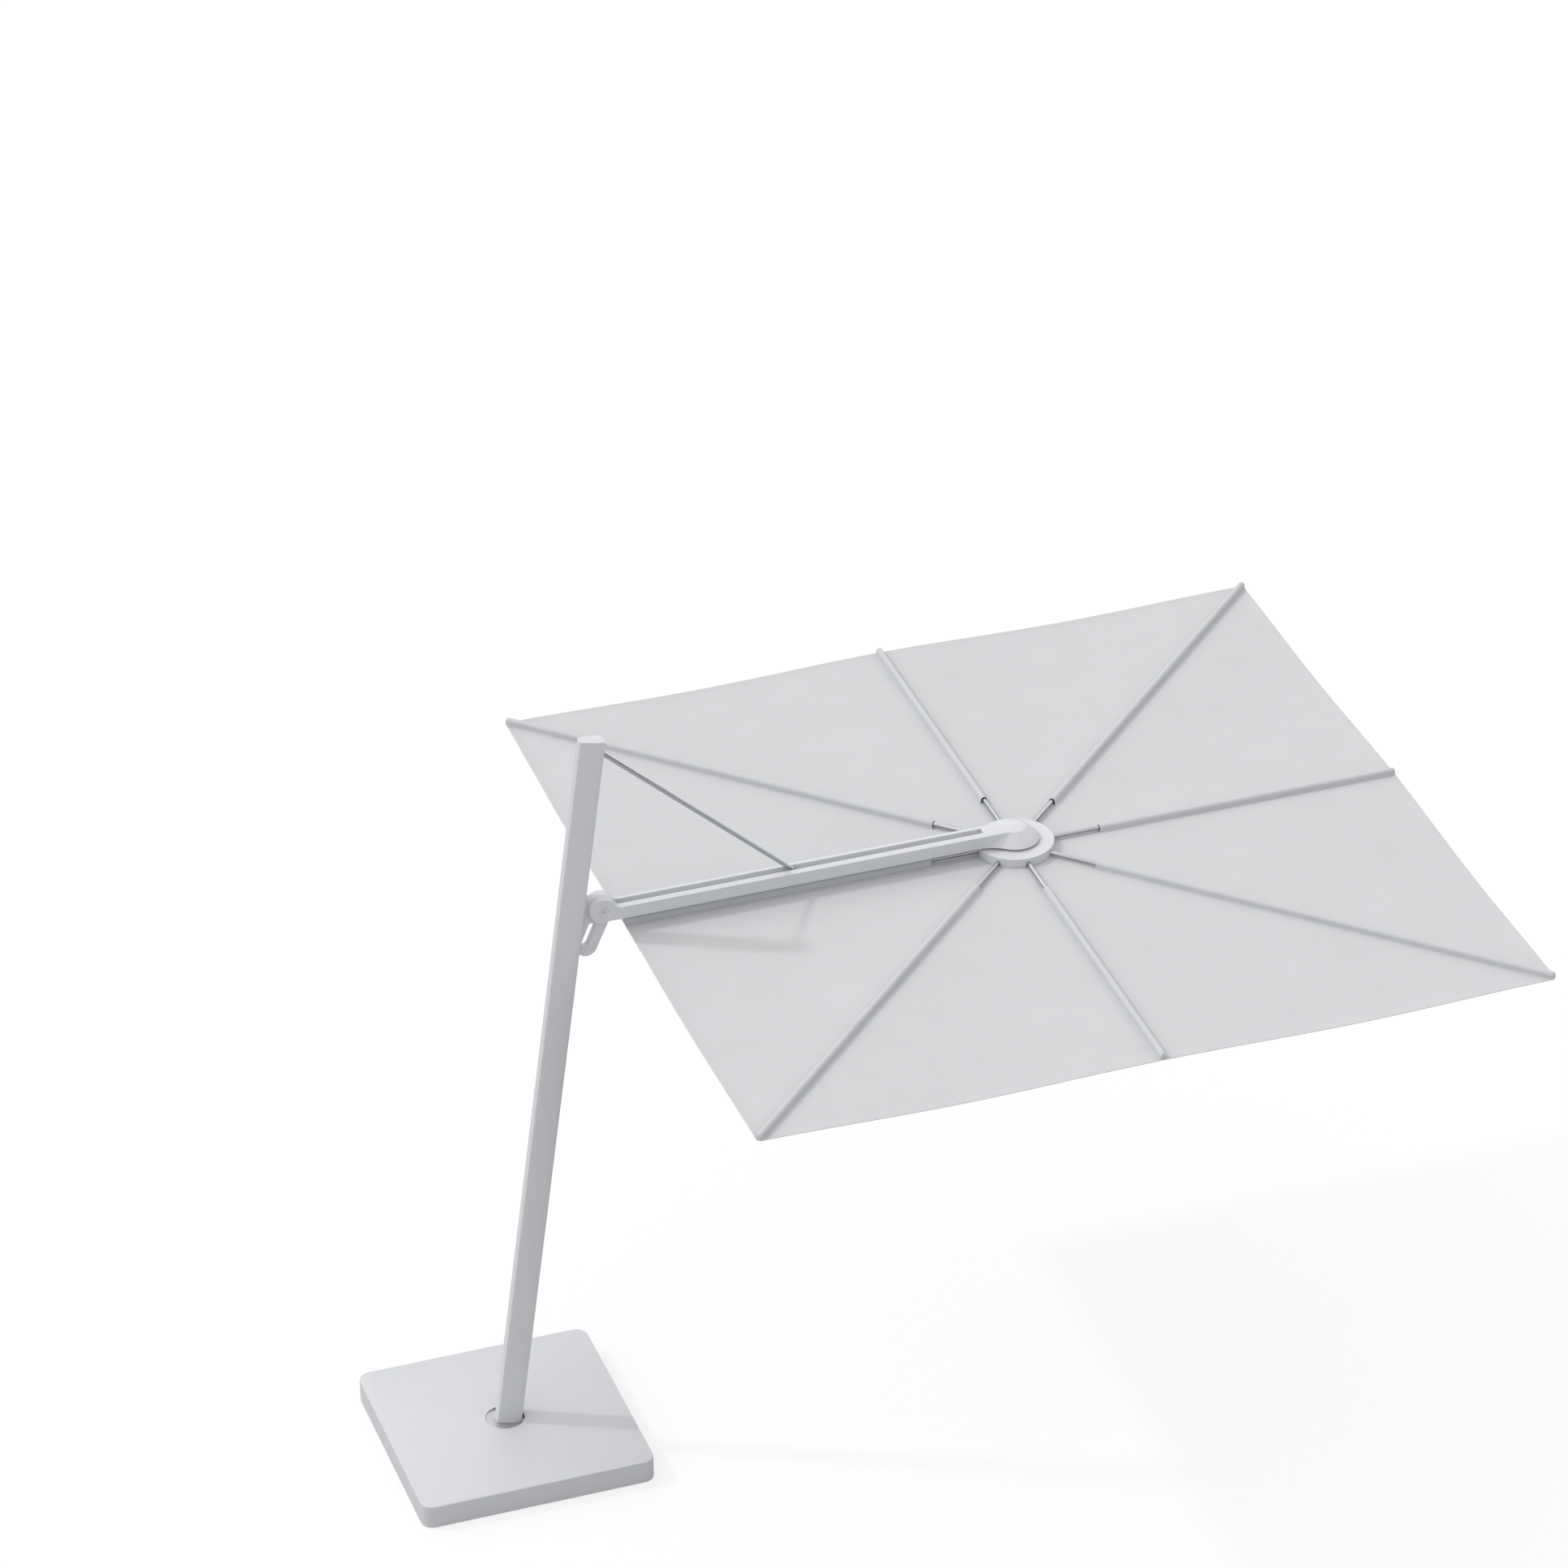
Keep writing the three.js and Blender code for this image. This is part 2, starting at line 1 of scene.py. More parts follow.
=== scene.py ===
"""Looks for the cantilever parasol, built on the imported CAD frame. Metres, +Z up, +X towards the canopy."""
import json
import math

import bmesh
import bpy
from mathutils import Matrix, Quaternion, Vector


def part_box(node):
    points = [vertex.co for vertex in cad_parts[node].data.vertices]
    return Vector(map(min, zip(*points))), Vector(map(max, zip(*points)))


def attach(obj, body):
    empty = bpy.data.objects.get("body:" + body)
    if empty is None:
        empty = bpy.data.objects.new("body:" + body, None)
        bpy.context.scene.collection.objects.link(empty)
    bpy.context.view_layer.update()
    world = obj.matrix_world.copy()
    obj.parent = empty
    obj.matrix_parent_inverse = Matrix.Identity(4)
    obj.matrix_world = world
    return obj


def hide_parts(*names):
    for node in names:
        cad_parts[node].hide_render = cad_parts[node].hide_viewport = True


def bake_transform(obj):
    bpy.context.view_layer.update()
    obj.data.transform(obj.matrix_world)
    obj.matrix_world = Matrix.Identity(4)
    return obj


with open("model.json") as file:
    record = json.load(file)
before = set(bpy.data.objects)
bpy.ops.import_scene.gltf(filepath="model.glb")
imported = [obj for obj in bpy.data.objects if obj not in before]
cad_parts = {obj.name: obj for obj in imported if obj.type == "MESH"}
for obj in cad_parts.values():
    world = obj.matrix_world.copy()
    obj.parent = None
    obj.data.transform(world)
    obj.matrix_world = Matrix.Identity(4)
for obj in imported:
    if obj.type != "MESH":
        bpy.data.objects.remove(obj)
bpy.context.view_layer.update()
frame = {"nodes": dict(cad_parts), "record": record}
NODES = frame["nodes"]
BODIES = {node: body for body, nodes in frame["record"]["behaviour"]["bodies"].items() for node in nodes}
SLOTS = {part["node"]: part["material_slot"] for part in frame["record"]["subparts"]}

# ---------- frame ----------
SHARP_ANGLE = math.radians(40)
EDGE_SEGMENTS = 2
WELD_DISTANCE = 2e-6
FLAT_WITHIN = math.radians(0.6)
# The base has this many feet, and the disc as many screws.
FEET = 4
TOP_CAP_EDGE = 0.0006
FOOT_EDGE = 0.003
SCREW_EDGE = 0.0005
RIB_EDGE = 0.0008
# How wide the edges of each single piece are rounded.
EDGES = {
    "base_cover": 0.0012,
    "ballast_plate": 0.0015,
    "bearing_housing": 0.001,
    "trim_ring": 0.0004,
    "swivel_cup": 0.0008,
    "turntable_disc": 0.0005,
    "mast_tube": 0.0008,
    "carriage_bracket": 0.0022,
    "slider_shoe": 0.001,
    "arm_beam": 0.0012,
    "knuckle_axle": 0.001,
    "strut_pin_lower": 0.0006,
    "strut_pin_upper": 0.0006,
    "hub_disc": 0.0012,
    "clamp_plate": 0.0008,
    "strut_rod": 0.0006,
}

# The knuckle's caps and their screws, as rings of radius, height over the face, and corners.
ROUND_SEGMENTS = 48
ROUND_SHARP_ANGLE = math.radians(35)
CAP_RINGS = [
    (0.0190, -0.0028, 0), (0.0190, -0.0005, 0), (0.0185, 0.0, 0), (0.0166, 0.0, 0),
    (0.0160, -0.0006, 0), (0.0154, -0.0014, 0), (0.0080, -0.0014, 0), (0.0010, -0.0014, 0),
]
SCREW_RINGS = [
    (0.0068, -0.0022, 0), (0.0068, -0.0008, 0), (0.0062, -0.0003, 0), (0.0044, -0.0001, 0),
    (0.0038, -0.0001, 6), (0.0038, -0.0020, 6), (0.0005, -0.0022, 0),
]

# ---------- canopy, with heights from the ribs' middle ----------
RIBS = 8
# The angle from a rib to the creases beside it.
CREASE = math.pi / RIBS
HALF_SIDE = 1.5
RIB_TIP_SIDE = 1.507
RIB_TIP_CORNER = HALF_SIDE * math.sqrt(2)
PATCH_RADIUS = 0.045
PATCH_OVERLAP = 0.0005
RING_RADIUS = 0.095

CLOTH_Z = -0.0142
CLOTH_HALF = 0.0006
CLOTH_SHARP_ANGLE = math.radians(50)
SAG = 0.0134
STRIP_HALF = 0.0135
STRIP_INSET = 0.001
# Neighbouring panels stop this short of their crease, so that they don't share an edge.
CREASE_GAP = 0.00002
# The width beside a rib's strip over which a panel's columns lie closer together.
BEND_WIDTH = 0.015

# The doubled hem is thicker than the cloth. It begins at the second of these distances from the edge.
HEM_ROWS = (0.016, 0.014, 0.004, 0.0)
HEM_EXTRA = 0.0005

SLEEVE_START = 0.330
SLEEVE_RADIUS = 0.0122
SLEEVE_FLARE = 0.0023
SLEEVE_WALL = 0.0011
FOOT_INSET_SHARE = 0.2
SLEEVE_END = 0.009
SLEEVE_TIP_BLUNTNESS = 0.45
CORNER_TRIM = 0.006
# The sleeve's ripple, as a share of its height, and its short and long waves in radians per metre.
RIPPLE = 0.016
RIPPLE_TURNS = (61, 23)

# How finely the cloth is divided.
PANEL_ROWS = 36
PANEL_STEPS = 14
BEND_STEPS = 4
RING_ROWS = 10
RING_STEPS = 16
STRIP_ROWS = 40
STRIP_STEPS = 6
PATCH_STEPS = 64
SLEEVE_ROWS = 60
SLEEVE_ARCH_STEPS = 22
SLEEVE_FOOT_STEPS = 7
SLEEVE_TIP_TURNS = (18, 36, 52, 66, 78, 86, 89.9)

# ---------- finishes ----------
# A noise texture's values lie mostly between these.
NOISE_SPAN = (0.3, 0.7)

YARN_PITCH = 0.0011
STITCH_PITCH = 0.0042
# A stitch fades out between these distances from its line, and these shares of the pitch from its middle.
STITCH_SIDE = (0.0004, 0.0009)
STITCH_TAIL = (0.30, 0.38)
STITCH_INSET = 0.011
SLEEVE_STITCH_RISE = 0.0035
# Where no stitches run: a place far from the cloth's edge.
NO_SEAM = (0.0, 1.0)

# ---------- stage ----------
CAMERA_AT = Vector((-5.8716, -21.3693, 16.3161))
CAMERA_AIM = Vector((0.266497, 0.811606, -0.519879))
CAMERA_ROLL = math.radians(-1.07)
CAMERA_LENS = 167.65
CAMERA_FILM = 36.0
CAMERA_REACH = 200.0

KEY_DIRECTION = Vector((0.593, -0.338, -0.731))
KEY_STRENGTH = 0.8
KEY_SIZE = math.radians(3.0)

# The sky's tones from the horizon to straight up, and its share of light at the wall opposite the
# dark one and at the dark one.
SKY_TONES = [
    (0.20, 0.21, 0.22), (0.90, 0.93, 0.96), (1.50, 1.50, 1.50), (1.05, 1.05, 1.05), (0.90, 0.90, 0.90),
]
SKY_STRENGTH = 0.98
DARK_WALL = Vector((0.68, -0.733, 0.0))
WALL_SPAN = (-0.8, 0.6)
WALL_SHARES = (1.28, 0.93)
BACKDROP = (1, 1, 1, 1)

FLOOR_HALF_SIZE = 80.0
FLOOR_COLOUR = (0.48, 0.48, 0.48)
FLOOR_ROUGHNESS = 0.9
FLOOR_GLOW = 1.35
FLOOR_GLOW_SHARE = 0.55

rib_low, rib_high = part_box("rib_1")
hub_low, hub_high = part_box("hub_disc")
HUB = Vector(((hub_low.x + hub_high.x) / 2, 0, (rib_low.z + rib_high.z) / 2))


# ---------- shader nodes ----------
def new_material(name):
    """A material with its node tree and its Principled shader."""
    material = bpy.data.materials.new(name)
    material.use_nodes = True
    tree = material.node_tree
    return material, tree, tree.nodes["Principled BSDF"]


def node(tree, kind, inputs=None, **settings):
    """A new node with its settings and its inputs, which are numbers, colours or other nodes' outputs."""
    made = tree.nodes.new(kind)
    for name, value in settings.items():
        setattr(made, name, value)
    for name, value in (inputs or {}).items():
        feed(tree, made.inputs[name], value)
    return made


def feed(tree, socket, value):
    """Gives an input a constant, or links another node's output to it."""
    if isinstance(value, bpy.types.NodeSocket):
        tree.links.new(value, socket)
    else:
        socket.default_value = value


def math_node(tree, operation, first, second=0.0, third=0.0):
    inputs = {0: first, 1: second, 2: third}
    return node(tree, "ShaderNodeMath", inputs, operation=operation).outputs[0]


def position(tree):
    return node(tree, "ShaderNodeTexCoord").outputs["Object"]


def split(tree, vector):
    """A vector's X, Y and Z, by name."""
    return node(tree, "ShaderNodeSeparateXYZ", {"Vector": vector}).outputs


def noise(tree, vector, scale, detail=2.0):
    inputs = {"Vector": vector, "Scale": scale, "Detail": detail}
    return node(tree, "ShaderNodeTexNoise", inputs).outputs["Fac"]


def spread(tree, value, low, high, out_low, out_high):
    """Maps a value from low..high to out_low..out_high."""
    inputs = {"Value": value, "From Min": low, "From Max": high, "To Min": out_low, "To Max": out_high}
    return node(tree, "ShaderNodeMapRange", inputs).outputs["Result"]


def shades(tree, value, colours):
    """A colour ramp through evenly spaced colours."""
    ramp = node(tree, "ShaderNodeValToRGB", {"Fac": value})
    elements = ramp.color_ramp.elements
    for i, colour in enumerate(colours):
        place = i / (len(colours) - 1)
        element = elements[i] if i < 2 else elements.new(place)
        element.position = place
        element.color = (*colour, 1)
    return ramp.outputs["Color"]


def shaded(colour, share):
    return tuple(c * share for c in colour)


def tones(tree, value, colour, shares):
    """A ramp through lighter and darker shades of one colour."""
    return shades(tree, value, [shaded(colour, share) for share in shares])


def roughness_between(tree, value, low, high):
    """A roughness that follows a noise between these values."""
    return spread(tree, value, *NOISE_SPAN, low, high)


def bump(tree, height, strength, distance):
    inputs = {"Height": height, "Strength": strength, "Distance": distance}
    return node(tree, "ShaderNodeBump", inputs).outputs["Normal"]


# ---------- materials ----------
def connect(tree, shader, colour, roughness, normal):
    """Feeds a shader's three main inputs."""
    feed(tree, shader.inputs["Base Color"], colour)
    feed(tree, shader.inputs["Roughness"], roughness)
    feed(tree, shader.inputs["Normal"], normal)


def painted(name, colour, roughness):
    """Powder coat: a faint mottle, a fine orange peel and a roughness that wanders a little."""
    material, tree, shader = new_material(name)
    place = position(tree)
    mottle = noise(tree, place, scale=9.0, detail=4.0)
    wander = noise(tree, place, scale=35.0, detail=3.0)
    peel = math_node(tree, "ADD", noise(tree, place, scale=700.0), noise(tree, place, scale=2400.0))
    coat = tones(tree, mottle, colour, (0.985, 1.0, 1.015))
    gloss = roughness_between(tree, wander, roughness - 0.05, roughness + 0.06)
    connect(tree, shader, coat, gloss, bump(tree, peel, strength=0.06, distance=0.0004))
    return material


def bare_metal(name, colour, roughness, streak=(1.0, 1.0, 1.0)):
    """Bare metal with fine lines along one direction, which the streak scales stretch."""
    material, tree, shader = new_material(name)
    place = position(tree)
    lines_at = node(tree, "ShaderNodeMapping", {"Vector": place, "Scale": streak}).outputs["Vector"]
    lines = noise(tree, lines_at, scale=420.0, detail=3.0)
    stain = noise(tree, place, scale=14.0, detail=4.0)
    metal = tones(tree, stain, colour, (0.86, 1.0, 1.06))
    gloss = roughness_between(tree, lines, roughness - 0.06, roughness + 0.1)
    connect(tree, shader, metal, gloss, bump(tree, lines, strength=0.12, distance=0.0002))
    shader.inputs["Metallic"].default_value = 1.0
    return material


def moulded(name, colour, roughness):
    """Rubber or nylon: dull and dusty, with a fine grain."""
    material, tree, shader = new_material(name)
    place = position(tree)
    grain = noise(tree, place, scale=900.0, detail=3.0)
    dust = noise(tree, place, scale=22.0, detail=5.0)
    rubber = tones(tree, dust, colour, (1.0, 1.3, 1.9))
    gloss = roughness_between(tree, grain, roughness - 0.08, roughness + 0.08)
    connect(tree, shader, rubber, gloss, bump(tree, grain, strength=0.25, distance=0.0005))
    return material


def weave_height(tree, place):
    """The height of a plain weave, whose yarns cross along X and Y."""
    along = split(tree, place)
    turns = math.tau / YARN_PITCH
    warp = math_node(tree, "SINE", math_node(tree, "MULTIPLY", along["X"], turns))
    weft = math_node(tree, "SINE", math_node(tree, "MULTIPLY", along["Y"], turns))
    return math_node(tree, "MULTIPLY", warp, weft)


def stitches(tree):
    """Where a stitch is, from the UV map of the distance along a seam and from the cloth's edge."""
    seam = split(tree, node(tree, "ShaderNodeUVMap", uv_map="seam").outputs["UV"])
    off_line = math_node(tree, "ABSOLUTE", math_node(tree, "SUBTRACT", seam["Y"], STITCH_INSET))
    on_line = spread(tree, off_line, *STITCH_SIDE, 1.0, 0.0)
    beat = math_node(tree, "FRACT", math_node(tree, "DIVIDE", seam["X"], STITCH_PITCH))
    off_middle = math_node(tree, "ABSOLUTE", math_node(tree, "SUBTRACT", beat, 0.5))
    on_beat = spread(tree, off_middle, *STITCH_TAIL, 1.0, 0.0)
    return math_node(tree, "MULTIPLY", on_line, on_beat)


def canopy_cloth(name, colour):
    """Spun acrylic: a plain weave, flecks of lighter and darker yarn, and rows of stitches."""
    material, tree, shader = new_material(name)
    place = position(tree)
    stitch = stitches(tree)
    fleck = noise(tree, place, scale=430.0, detail=3.0)
    cloud = noise(tree, place, scale=5.0, detail=3.0)
    tone = math_node(tree, "MULTIPLY_ADD", fleck, 0.85, math_node(tree, "MULTIPLY", cloud, 0.15))
    yarn = tones(tree, spread(tree, tone, 0.25, 0.75, 0.0, 1.0), colour, (0.84, 0.97, 1.03, 1.12))
    thread = (*shaded(colour, 0.86), 1)
    mix = node(tree, "ShaderNodeMix", {"Factor": stitch}, data_type="RGBA")
    feed(tree, mix.inputs["A"], yarn)
    feed(tree, mix.inputs["B"], thread)

    weave = math_node(tree, "MULTIPLY", weave_height(tree, place), 0.5)
    height = math_node(tree, "MULTIPLY_ADD", stitch, 1.6, weave)
    height = math_node(tree, "MULTIPLY_ADD", fleck, 0.8, height)
    relief = bump(tree, height, strength=0.35, distance=0.0004)
    connect(tree, shader, mix.outputs["Result"], roughness_between(tree, fleck, 0.86, 0.96), relief)
    shader.inputs["Sheen Weight"].default_value = 0.12
    shader.inputs["Sheen Roughness"].default_value = 0.6
    shader.inputs["Specular IOR Level"].default_value = 0.25
    return material


MATERIALS = {
    "frame": painted("frame_coat", (0.560, 0.567, 0.590), 0.45),
    "base_paint": painted("base_coat", (0.545, 0.552, 0.575), 0.50),
    "ballast_steel": painted("ballast_coat", (0.12, 0.125, 0.13), 0.6),
    "swivel_steel": bare_metal("swivel_steel", (0.42, 0.42, 0.43), 0.42),
    "disc_steel": bare_metal("disc_steel", (0.56, 0.56, 0.565), 0.5, streak=(0.06, 1.0, 1.0)),
    "trim": bare_metal("trim_metal", (0.82, 0.82, 0.83), 0.55),
    "fastener": bare_metal("fastener_steel", (0.58, 0.58, 0.59), 0.30),
    "rod_metal": bare_metal("rod_metal", (0.47, 0.475, 0.485), 0.17),
    "nylon": moulded("nylon", (0.035, 0.036, 0.038), 0.55),
    "foot_rubber": moulded("foot_rubber", (0.022, 0.022, 0.022), 0.8),
    "canopy_cloth": canopy_cloth("canopy_weave", (0.495, 0.501, 0.512)),
}


# ---------- frame pieces ----------
def new_piece(name, mesh, slot_name):
    """An object in the scene with the material of a slot of the record."""
    piece = bpy.data.objects.new(name, mesh)
    bpy.context.scene.collection.objects.link(piece)
    mesh.materials.clear()
    mesh.materials.append(MATERIALS[slot_name])
    return piece


def refine(name, edge, filled=False):
    """A finer copy of a CAD node: whole flat faces, rounded edges and smooth curved walls.

    A filled copy has no notches or holes.
    """
    mesh = NODES[name].data.copy()
    shape = bmesh.new()
    shape.from_mesh(mesh)
    bmesh.ops.remove_doubles(shape, verts=shape.verts, dist=WELD_DISTANCE)
    if filled:
        bmesh.ops.delete(shape, geom=shape.faces, context="FACES_ONLY")
        bmesh.ops.delete(shape, geom=shape.edges, context="EDGES_FACES")
        bmesh.ops.convex_hull(shape, input=shape.verts)
    bmesh.ops.dissolve_limit(shape, angle_limit=FLAT_WITHIN, verts=shape.verts, edges=shape.edges)
    for face in shape.faces:
        face.smooth = True
    shape.to_mesh(mesh)
    shape.free()
    mesh.set_sharp_from_angle(angle=SHARP_ANGLE)
    piece = new_piece("fine_" + name, mesh, SLOTS[name])
    rounding = piece.modifiers.new("rounded edges", "BEVEL")
    rounding.width = edge
    rounding.segments = EDGE_SEGMENTS
    rounding.limit_method = "ANGLE"
    rounding.angle_limit = SHARP_ANGLE
    rounding.harden_normals = True
    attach(piece, BODIES[name])
    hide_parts(name)


def reach_at(radius, corners, angle):
    """How far a ring reaches at an angle. With corners it is a polygon whose flats lie at the radius."""
    if not corners:
        return radius
    wedge = math.tau / corners
    return radius / math.cos((angle + wedge / 2) % wedge - wedge / 2)


def turned(rings, centre, side):
    """A solid about the Y axis through a point, whose heights run outwards to the side given."""
    shape = bmesh.new()
    loops = []
    for radius, height, corners in rings:
        loop = []
        for i in range(ROUND_SEGMENTS):
            angle = math.tau * i / ROUND_SEGMENTS
            reach = reach_at(radius, corners, angle)
            offset = Vector((reach * math.cos(angle), side * height, reach * math.sin(angle)))
            loop.append(shape.verts.new(centre + offset))
        loops.append(loop)
    for low, high in zip(loops, loops[1:]):
        for i in range(ROUND_SEGMENTS):
            j = (i + 1) % ROUND_SEGMENTS
            shape.faces.new([low[i], low[j], high[j], high[i]])
    for loop in (loops[0], loops[-1]):
        shape.faces.new(loop)
    return smooth_mesh("turned", shape, ROUND_SHARP_ANGLE)


def smooth_mesh(name, shape, sharp_angle):
    """The mesh of a closed shape, smooth but for its sharp edges."""
    bmesh.ops.recalc_face_normals(shape, faces=shape.faces)
    for face in shape.faces:
        face.smooth = True
    mesh = bpy.data.meshes.new(name)
    shape.to_mesh(mesh)
    shape.free()
    mesh.set_sharp_from_angle(angle=sharp_angle)
    return mesh


def knuckle_cap(name, side):
    """A dished cap over the knuckle's axle, with a socket screw in its middle."""
    low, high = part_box(name)
    face = low.y if side < 0 else high.y
    centre = Vector(((low.x + high.x) / 2, face, (low.z + high.z) / 2))
    cap = new_piece("fine_" + name, turned(CAP_RINGS, centre, side), SLOTS[name])
    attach(cap, "arm")
    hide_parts(name)
    screw = new_piece("screw_of_" + name, turned(SCREW_RINGS, centre, side), "fastener")
    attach(screw, "arm")


def add_frame():
    for name, edge in EDGES.items():
        refine(name, edge)
    for i in range(1, FEET + 1):
        refine(f"base_foot_{i}", FOOT_EDGE)
        refine(f"disc_screw_{i}", SCREW_EDGE)
    for i in range(1, RIBS + 1):
        refine(f"rib_{i}", RIB_EDGE)
    refine("mast_top_cap", TOP_CAP_EDGE, filled=True)
    knuckle_cap("knuckle_cap_front", -1)
    knuckle_cap("knuckle_cap_rear", 1)


# ---------- where the cloth is ----------
# Ribs are counted from 0, counter-clockwise from +X. Odd ones run to the canopy's corners.
def rib_tip(index):
    return RIB_TIP_CORNER if index % 2 else RIB_TIP_SIDE


def next_tip(index):
    """The next rib's tip, which is as far along this rib as it is aside from it."""
    return rib_tip(index + 1) / math.sqrt(2)


def hem_point(index, aside):
    """The straight hem's point at a distance to the side of a rib, with that rib along X."""
    tip, following = rib_tip(index), next_tip(index)
    return Vector((tip + (following - tip) * aside / following, aside))


def crease_hem_point(index):
    """Where the crease beside a rib meets the hem, with that rib along X."""
    slope = math.tan(CREASE)
    along = rib_tip(index) / (1 + (rib_tip(index) / next_tip(index) - 1) * slope)
    return Vector((along, along * slope))


def cloth_height(index, x, y):
    """The cloth hangs a little between the ribs, more towards its hem. The rib lies along X."""
    from_rib = math.atan2(abs(y), x)
    from_side = 2 * CREASE - from_rib if index % 2 else from_rib
    share_across = math.tan(from_side)
    out = math.hypot(x, y) * math.cos(from_side)
    share_out = max(0.0, out - RING_RADIUS) / (HALF_SIDE - RING_RADIUS)
    return CLOTH_Z - SAG * share_out * math.sin(math.pi * share_across) ** 2


def in_canopy(index, side, x, y, z):
    """The place of a point given with its rib along X, its side at +Y and its height from the ribs."""
    angle = 2 * CREASE * index
    along_x = x * math.cos(angle) - y * side * math.sin(angle)
    along_y = x * math.sin(angle) + y * side * math.cos(angle)
    return HUB + Vector((along_x, along_y, z))


def on_cloth(index, side, point):
    """The place of a point of the cloth, given in plan."""
    return in_canopy(index, side, point.x, point.y, cloth_height(index, point.x, point.y))


# ---------- cloth meshes ----------
def cloth_mesh(name, shape, seam_at):
    """The mesh of a closed piece of cloth. Its UV map holds where each vertex is at its seam.

    U is the distance along the seam and V the distance from the cloth's edge.
    """
    layer = shape.loops.layers.uv.new("seam")
    for face in shape.faces:
        for loop in face.loops:
            loop[layer].uv = seam_at(loop.vert)
    return smooth_mesh(name, shape, CLOTH_SHARP_ANGLE)


def skin(shape, rows, half_thicknesses, sign):
    """The vertices of a sheet's upper or lower face."""
    made = []
    for row, half in zip(rows, half_thicknesses):
        offset = Vector((0, 0, sign * half))
        made.append([shape.verts.new(point + offset) for point in row])
    return made


def sheet_mesh(name, rows, seam, half_thicknesses):
    """A closed sheet through a grid of points, which has a half thickness for each of its rows."""
    count_v, count_u = len(rows), len(rows[0])
    shape = bmesh.new()
    top = skin(shape, rows, half_thicknesses, 1)
    bottom = skin(shape, rows, half_thicknesses, -1)
    for v in range(count_v - 1):
        for u in range(count_u - 1):
            ring = [(v, u), (v, u + 1), (v + 1, u + 1), (v + 1, u)]
            shape.faces.new([top[a][b] for a, b in ring])
            shape.faces.new([bottom[a][b] for a, b in reversed(ring)])
    border = [(0, u) for u in range(count_u)]
    border += [(v, count_u - 1) for v in range(1, count_v)]
    border += [(count_v - 1, u) for u in range(count_u - 2, -1, -1)]
    border += [(v, 0) for v in range(count_v - 2, 0, -1)]
    for (a, b), (c, d) in zip(border, border[1:] + border[:1]):
        shape.faces.new([top[c][d], top[a][b], bottom[a][b], bottom[c][d]])

    places = {}
    for face_rows in (top, bottom):
        for line, values in zip(face_rows, seam):
            places.update(zip(line, values))
    return cloth_mesh(name, shape, places.get)


def cloth_piece(mesh):
    """A piece of cloth held tight by the ribs."""
    piece = new_piece(mesh.name, mesh, "canopy_cloth")
    return piece


# ---------- canopy pieces ----------
def column_offsets(width):
    """Places across a panel from its rib's strip to its crease, close together near the strip."""
    bend = [BEND_WIDTH * i / BEND_STEPS for i in range(BEND_STEPS)]
    open_width = width - BEND_WIDTH
    return bend + [BEND_WIDTH + open_width * i / PANEL_STEPS for i in range(PANEL_STEPS + 1)]


def panel_corner(index):
    """A panel's corner where the hem meets the crease, with the panel's rib along X."""
    return crease_hem_point(index) - Vector((0, CREASE_GAP))


def panel_ends(index):
    """The inner and outer ends of a panel's columns, with its rib along X."""
    inner_width = RING_RADIUS * math.tan(CREASE) - STRIP_HALF - CREASE_GAP
    inner = [Vector((RING_RADIUS, STRIP_HALF + offset)) for offset in column_offsets(inner_width)]
    corner = panel_corner(index)
    offsets = column_offsets(corner.y - STRIP_HALF)
    outer = [hem_point(index, STRIP_HALF + offset) for offset in offsets[:-1]]
    return inner, outer + [corner]


def panel_rows(length):
    """Distances from the hem's edge at which a column of this length has its points."""
    even = [length - (length - HEM_ROWS[0]) * v / PANEL_ROWS for v in range(PANEL_ROWS)]
    return even + list(HEM_ROWS)


def panel_grid(index, side):
    """The rows of a panel's points, and of their places at the seam."""
    inner, outer = panel_ends(index)
    columns, seams = [], []
    hem_run = 0.0
    for i, (start, end) in enumerate(zip(inner, outer)):
        if i:
            hem_run += (end - outer[i - 1]).length
        length = (end - start).length
        rows = panel_rows(length)
        columns.append([on_cloth(index, side, end.lerp(start, away / length)) for away in rows])
        seams.append([(hem_run, away) for away in rows])
    return list(zip(*columns)), list(zip(*seams))


def cloth_panel(index, side):
    """The cloth from beside a rib to the crease halfway to the next rib, out to its hem."""
    name = f"{index + 1}{'b' if side > 0 else 'a'}"
    rows, seam = panel_grid(index, side)
    half_thicknesses = [CLOTH_HALF] * (PANEL_ROWS + 1)
    half_thicknesses += [CLOTH_HALF + HEM_EXTRA] * (len(HEM_ROWS) - 1)
    mesh = sheet_mesh(f"cloth_{name}", rows, seam, half_thicknesses)
    piece = cloth_piece(mesh)
    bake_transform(piece)
    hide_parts(f"canopy_panel_{name}")


def ring_sector(index):
    """The cloth round the hub's middle under one rib."""
    rows = []
    for v in range(RING_ROWS + 1):
        share = v / RING_ROWS
        row = []
        for u in range(RING_STEPS + 1):
            angle = CREASE * (2 * u / RING_STEPS - 1)
            rounding = PATCH_RADIUS * (math.cos(angle) - 1) * (1 - share)
            x = PATCH_RADIUS + (RING_RADIUS - PATCH_RADIUS) * share + rounding
            row.append(in_canopy(index, 1, x, x * math.tan(angle), CLOTH_Z))
        rows.append(row)
    seam = [[NO_SEAM] * (RING_STEPS + 1)] * (RING_ROWS + 1)
    mesh = sheet_mesh(f"cloth_ring_{index + 1}", rows, seam, [CLOTH_HALF] * (RING_ROWS + 1))
    piece = cloth_piece(mesh)
    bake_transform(piece)


